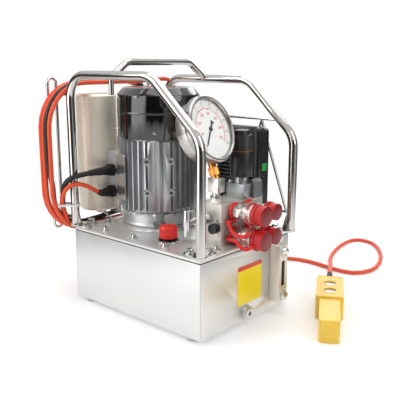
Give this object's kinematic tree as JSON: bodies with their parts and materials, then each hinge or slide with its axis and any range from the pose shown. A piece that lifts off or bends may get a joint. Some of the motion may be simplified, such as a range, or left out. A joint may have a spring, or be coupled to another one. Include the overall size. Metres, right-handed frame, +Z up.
{
  "type": "hydraulic power unit",
  "caption": "Portable electric hydraulic power unit: steel tank, vertical motor and pump, valve manifold with gauge and quick couplers, oil cooler, tube frame, coiled cables and hand pendant",
  "frame": {"origin": "on the floor under the middle of the tank, at the centre of the four foot holes", "axes": "+X along the tank towards the couplers, +Y from the long side with the filler towards the cooler, +Z up"},
  "size_m": [0.5633, 0.7666, 0.4604],
  "materials": {
    "stainless_sheet": "brushed stainless sheet",
    "polished_tube": "polished stainless tube",
    "bright_steel": "bright plated steel",
    "foot_rubber": "grey rubber",
    "black_rubber": "black rubber",
    "cast_grey": "die-cast, metallic grey paint",
    "core_iron": "laminated core and windings",
    "black_paint": "gloss black paint",
    "black_plastic": "black moulded plastic",
    "grey_plastic": "light grey moulded plastic",
    "can_alloy": "satin warm-toned can",
    "manifold_alloy": "machined block",
    "coupler_steel": "zinc-plated steel",
    "brass_fitting": "machined brass",
    "cap_red": "red soft plastic",
    "cap_anodised": "red anodised",
    "dial_white": "white printed dial",
    "clear_glass": "clear",
    "sight_tube": "clear amber",
    "pendant_yellow": "yellow moulded shell",
    "button_white": "pale button",
    "cable_orange": "orange cable sheath",
    "cable_black": "black cable sheath"
  },
  "bodies": {
    "unit": {"tank": "stainless_sheet", "rubber_feet": "foot_rubber", "lid_gasket": "black_rubber", "top_plate": "stainless_sheet", "fasteners": "bright_steel", "drain_plug": "bright_steel", "level_guard": "stainless_sheet", "level_tube": "sight_tube", "front_hoop": "polished_tube", "rear_hoop": "polished_tube", "carry_handle": "polished_tube", "cable_rack": "polished_tube", "guard_wires": "polished_tube", "motor_housing": "cast_grey", "motor_stator": "core_iron", "drive_end_shield": "cast_grey", "motor_bearings": "bright_steel", "fan_cover": "black_paint", "terminal_box": "grey_plastic", "terminal_lid": "grey_plastic", "cable_glands": "black_plastic", "capacitor_can": "can_alloy", "capacitor_bracket": "stainless_sheet", "filler_neck": "bright_steel", "manifold": "manifold_alloy", "relief_valve": "bright_steel", "gauge_stem": "brass_fitting", "gauge_case": "polished_tube", "gauge_bezel": "polished_tube", "gauge_dial": "dial_white", "gauge_glass": "clear_glass", "valve_body": "cast_grey", "solenoid_coil": "black_plastic", "valve_connector": "grey_plastic", "cooler_core": "cast_grey", "cooler_shroud": "black_paint", "coupler_bodies": "coupler_steel", "cap_straps": "cap_red", "pump_body": "core_iron", "pendant_shell": "pendant_yellow", "pendant_boot": "black_rubber", "remote_lead": "cable_orange", "remote_coil": "cable_orange", "remote_run": "cable_orange", "mains_lead": "cable_black", "mains_coil": "cable_black", "mains_plug": "cable_black"},
    "rotor": {"motor_rotor": "core_iron", "cooling_fan": "black_plastic"},
    "oil_cooler_fan": {"cooler_fan": "black_plastic"},
    "pointer": {"gauge_pointer": "black_plastic"},
    "tee": {"tee_handle": "bright_steel"},
    "knob": {"bleed_knob": "black_plastic"},
    "filler_cap": {"filler_cap": "cap_red"},
    "supply_cap_upper": {"supply_cap_upper": "cap_anodised"},
    "supply_cap_lower": {"supply_cap_lower": "cap_anodised"},
    "return_cap_upper": {"return_cap_upper": "cap_anodised"},
    "return_cap_lower": {"return_cap_lower": "cap_anodised"},
    "run_button": {"run_button": "button_white"},
    "release_button": {"release_button": "button_white"}
  },
  "joints": [
    {"name": "motor_shaft_spin", "type": "hinge", "parent": "unit", "child": "rotor", "pos_m": [-0.062, 0.007, 0.26], "axis": [0, 0, 1], "continuous": true},
    {"name": "cooler_fan_spin", "type": "hinge", "parent": "unit", "child": "oil_cooler_fan", "pos_m": [0.071, 0.102, 0.286], "axis": [0, 1, 0], "continuous": true},
    {"name": "gauge_pointer_sweep", "type": "hinge", "parent": "unit", "child": "pointer", "pos_m": [0.112, -0.0356, 0.3466], "axis": [0.9313, 0.0651, 0.3584], "range_deg": [-270, 0], "stiffness_Nm_per_rad": 0.002},
    {"name": "relief_tee_turn", "type": "hinge", "parent": "unit", "child": "tee", "pos_m": [0.102, -0.093, 0.191], "axis": [0, 1, 0], "range_deg": [-180, 180]},
    {"name": "bleed_knob_turn", "type": "hinge", "parent": "unit", "child": "knob", "pos_m": [0.122, -0.046, 0.176], "axis": [0, 1, 0], "range_deg": [0, 270]},
    {"name": "filler_cap_lift", "type": "slide", "parent": "unit", "child": "filler_cap", "axis": [0, 0, 1], "range_m": [0, 0.03]},
    {"name": "supply_cap_upper_pull", "type": "slide", "parent": "unit", "child": "supply_cap_upper", "axis": [1, 0, 0], "range_m": [0, 0.02]},
    {"name": "supply_cap_lower_pull", "type": "slide", "parent": "unit", "child": "supply_cap_lower", "axis": [1, 0, 0], "range_m": [0, 0.02]},
    {"name": "return_cap_upper_pull", "type": "slide", "parent": "unit", "child": "return_cap_upper", "axis": [1, 0, 0], "range_m": [0, 0.02]},
    {"name": "return_cap_lower_pull", "type": "slide", "parent": "unit", "child": "return_cap_lower", "axis": [1, 0, 0], "range_m": [0, 0.02]},
    {"name": "run_button_press", "type": "slide", "parent": "unit", "child": "run_button", "axis": [0, 0, -1], "range_m": [0, 0.003], "stiffness_N_per_m": 300},
    {"name": "release_button_press", "type": "slide", "parent": "unit", "child": "release_button", "axis": [0, 0, -1], "range_m": [0, 0.003], "stiffness_N_per_m": 300}
  ]
}
